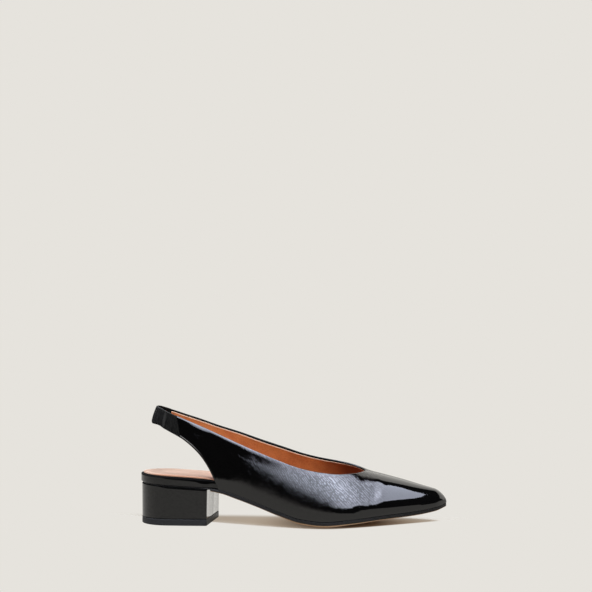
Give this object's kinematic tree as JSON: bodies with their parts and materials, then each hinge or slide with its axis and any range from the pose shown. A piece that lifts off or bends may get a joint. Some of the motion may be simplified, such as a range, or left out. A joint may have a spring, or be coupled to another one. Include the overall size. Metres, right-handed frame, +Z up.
{
  "type": "slingback pump with block heel",
  "caption": "Women's slingback pump for the right foot: pointed closed toe, open heel with an elastic sling strap, low covered block heel, thin sole and tan lining.",
  "frame": {"origin": "on the floor, under the middle of the shoe's box", "axes": "+X from heel to toe, +Y to the inner side of the foot, +Z up"},
  "size_m": [0.256, 0.0772, 0.0966],
  "materials": {
    "patent": "glossy crinkled patent leather, black",
    "rand_patent": "glossy patent leather, black",
    "heel_cover": "patent leather cover on the heel, black",
    "sole_leather": "black edge, tan underside",
    "sock_leather": "matt tan leather",
    "elastic": "ribbed black elastic",
    "tip_rubber": "matt black rubber"
  },
  "bodies": {
    "root": {"outsole": "sole_leather", "heel_block": "heel_cover", "heel_tip": "tip_rubber", "insole": "rand_patent", "sock": "sock_leather", "upper": "patent", "sling_elastic": "elastic"}
  },
  "joints": []
}
